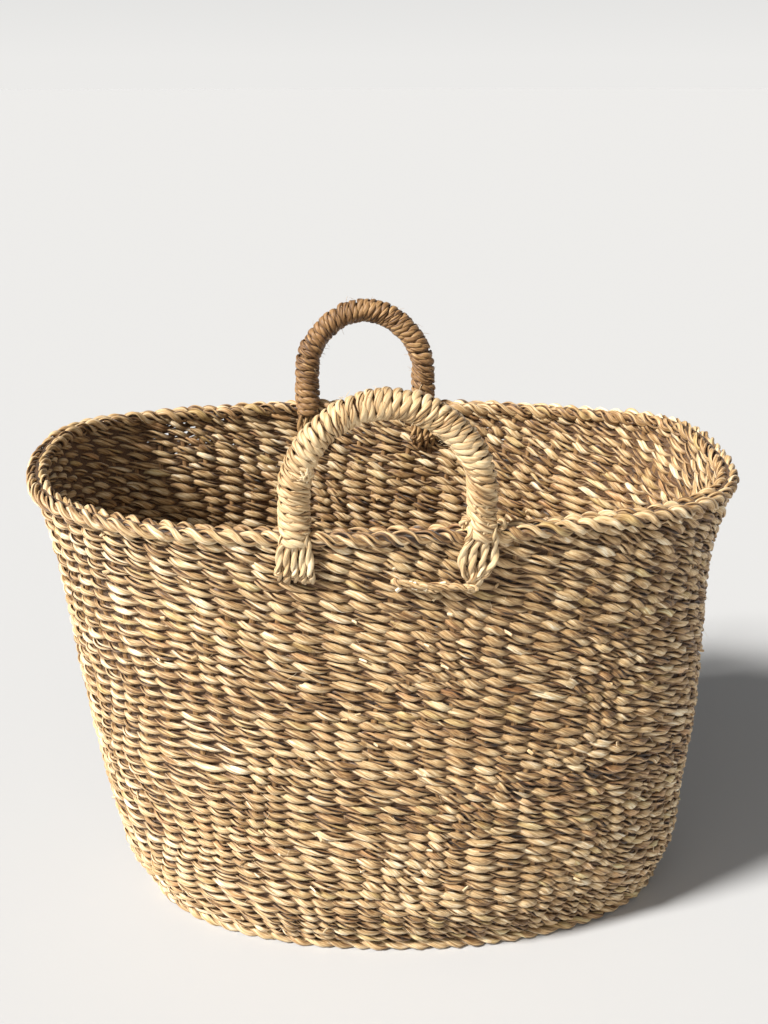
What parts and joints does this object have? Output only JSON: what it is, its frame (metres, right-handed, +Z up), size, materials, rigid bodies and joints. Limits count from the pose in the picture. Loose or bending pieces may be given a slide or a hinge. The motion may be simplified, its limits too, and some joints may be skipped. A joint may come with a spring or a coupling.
{
  "type": "oval storage basket",
  "caption": "Oval twined seagrass storage basket with a flared rope rim and two wrapped arch handles that flex at their roots.",
  "frame": {"origin": "centre of the overall box in plan, at the surface the basket stands on", "axes": "+Z up, +X along the basket's length, -Y out of the side that carries the front (pale) handle, +Y towards the back handle"},
  "size_m": [0.556, 0.3467, 0.4897],
  "materials": {
    "seagrass_weft": "woven seagrass, dry and matt with a slight waxy sheen",
    "seagrass_stake": "seagrass stem, dry, darker inside the weave",
    "seagrass_rope": "twisted seagrass rope, dry and matt",
    "seagrass_wrap_pale": "pale two-ply seagrass cord, smooth and slightly waxy",
    "seagrass_wrap_brown": "browner two-ply seagrass cord, dry",
    "seagrass_core": "bundle of seagrass stems, dry"
  },
  "bodies": {
    "basket": {"base_mat": "seagrass_weft", "long_stakes": "seagrass_stake", "cross_stakes": "seagrass_stake", "foot_rope": "seagrass_rope", "wall_weft_lower": "seagrass_weft", "wall_weft_middle": "seagrass_weft", "wall_weft_upper": "seagrass_weft", "rim_core": "seagrass_stake", "rim_rope_outer": "seagrass_rope", "rim_rope_inner": "seagrass_rope", "front_root_outer_left": "seagrass_wrap_pale", "front_root_outer_right": "seagrass_wrap_pale", "front_root_inner_left": "seagrass_wrap_pale", "front_root_inner_right": "seagrass_wrap_pale", "back_root_outer_left": "seagrass_wrap_brown", "back_root_outer_right": "seagrass_wrap_brown", "back_root_inner_left": "seagrass_wrap_brown", "back_root_inner_right": "seagrass_wrap_brown"},
    "front_handle": {"front_handle_core": "seagrass_core", "front_handle_wrap": "seagrass_wrap_pale"},
    "back_handle": {"back_handle_core": "seagrass_core", "back_handle_wrap": "seagrass_wrap_brown"}
  },
  "joints": [
    {"name": "front_handle_flex", "type": "hinge", "parent": "basket", "child": "front_handle", "pos_m": [-0.002, -0.15613, 0.4038], "axis": [1, 0, 0], "range_deg": [-25, 20], "stiffness_Nm_per_rad": 0.6},
    {"name": "back_handle_flex", "type": "hinge", "parent": "basket", "child": "back_handle", "pos_m": [-0.01, 0.15665, 0.4038], "axis": [-1, 0, 0], "range_deg": [-25, 20], "stiffness_Nm_per_rad": 0.6}
  ]
}
